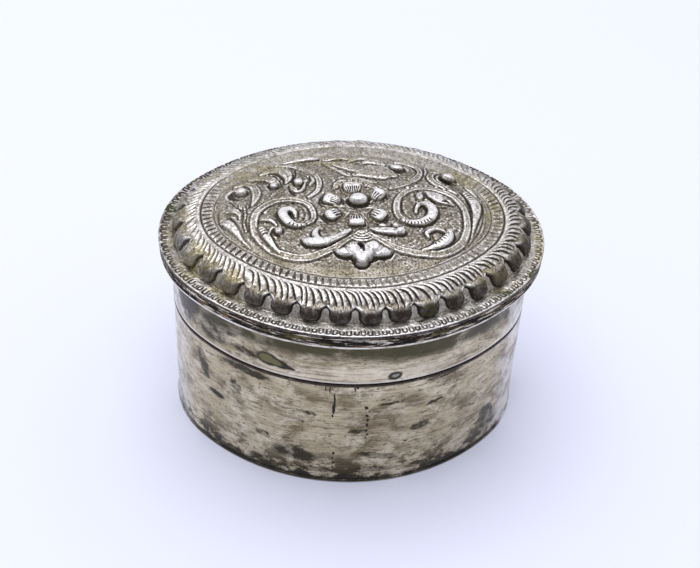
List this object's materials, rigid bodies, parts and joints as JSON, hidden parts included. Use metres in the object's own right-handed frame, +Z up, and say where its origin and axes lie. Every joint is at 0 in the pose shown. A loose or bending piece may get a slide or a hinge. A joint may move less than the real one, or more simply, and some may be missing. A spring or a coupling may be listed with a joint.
{
  "type": "lime box",
  "caption": "Oval tarnished silver lime box with a flat base, plain walls and a lift-off lid with a hollow rim and floral relief.",
  "frame": {"origin": "middle of the underside of the base plate", "axes": "+X along the oval's long axis, to the right of the front; +Y to the back; +Z up"},
  "size_m": [0.076, 0.06, 0.0514],
  "materials": {
    "silver_body": "tarnished silver with fine scratches",
    "silver_lid": "tarnished silver, worn bright on the raised work",
    "silver_dark": "blackened silver",
    "silver_collar": "satin silver",
    "solder": "dark pitted solder"
  },
  "bodies": {
    "box": {"base_plate": "silver_body", "body_wall": "silver_body", "wall_seam": "solder", "inner_collar": "silver_collar", "collar_seam": "solder"},
    "lid": {"lid_skirt": "silver_body", "skirt_seam": "solder", "rim_plate": "silver_lid", "rim_band": "silver_dark", "lid_top": "silver_lid"}
  },
  "joints": [
    {"name": "lid_lift", "type": "slide", "parent": "box", "child": "lid", "axis": [0, 0, 1], "range_m": [0, 0.04]}
  ]
}
